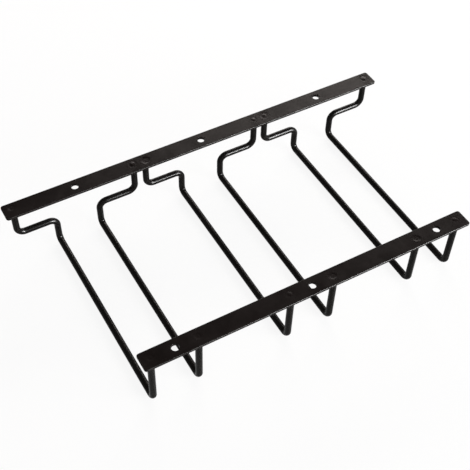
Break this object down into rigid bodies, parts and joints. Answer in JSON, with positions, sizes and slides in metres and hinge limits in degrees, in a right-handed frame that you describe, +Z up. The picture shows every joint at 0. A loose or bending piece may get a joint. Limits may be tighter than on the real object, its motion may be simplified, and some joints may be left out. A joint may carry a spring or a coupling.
{
  "type": "hanging wine glass rack",
  "caption": "Under-shelf rack for stemmed glasses: flat screw-up bars joined by paired bent wires that form channels with a raised entry lip and a rear stop.",
  "frame": {"origin": "middle of the plane that the tops of both bars screw up against, halfway between the bars and at the middle channel", "axes": "+Z up towards the shelf, +X to the right along the bars as seen from the side where the glasses go in, +Y from the entry bar to the stop bar"},
  "size_m": [0.3222, 0.1764, 0.0502],
  "materials": {
    "bar_powder_coat": "satin black powder coat",
    "wire_powder_coat": "satin black powder coat"
  },
  "bodies": {
    "root": {"entry_bar": "bar_powder_coat", "stop_bar": "bar_powder_coat", "left_left_wire": "wire_powder_coat", "left_left_entry_weld": "wire_powder_coat", "left_left_stop_weld": "wire_powder_coat", "left_right_wire": "wire_powder_coat", "left_right_entry_weld": "wire_powder_coat", "left_right_stop_weld": "wire_powder_coat", "middle_left_wire": "wire_powder_coat", "middle_left_entry_weld": "wire_powder_coat", "middle_left_stop_weld": "wire_powder_coat", "middle_right_wire": "wire_powder_coat", "middle_right_entry_weld": "wire_powder_coat", "middle_right_stop_weld": "wire_powder_coat", "right_left_wire": "wire_powder_coat", "right_left_entry_weld": "wire_powder_coat", "right_left_stop_weld": "wire_powder_coat", "right_right_wire": "wire_powder_coat", "right_right_entry_weld": "wire_powder_coat", "right_right_stop_weld": "wire_powder_coat"}
  },
  "joints": []
}
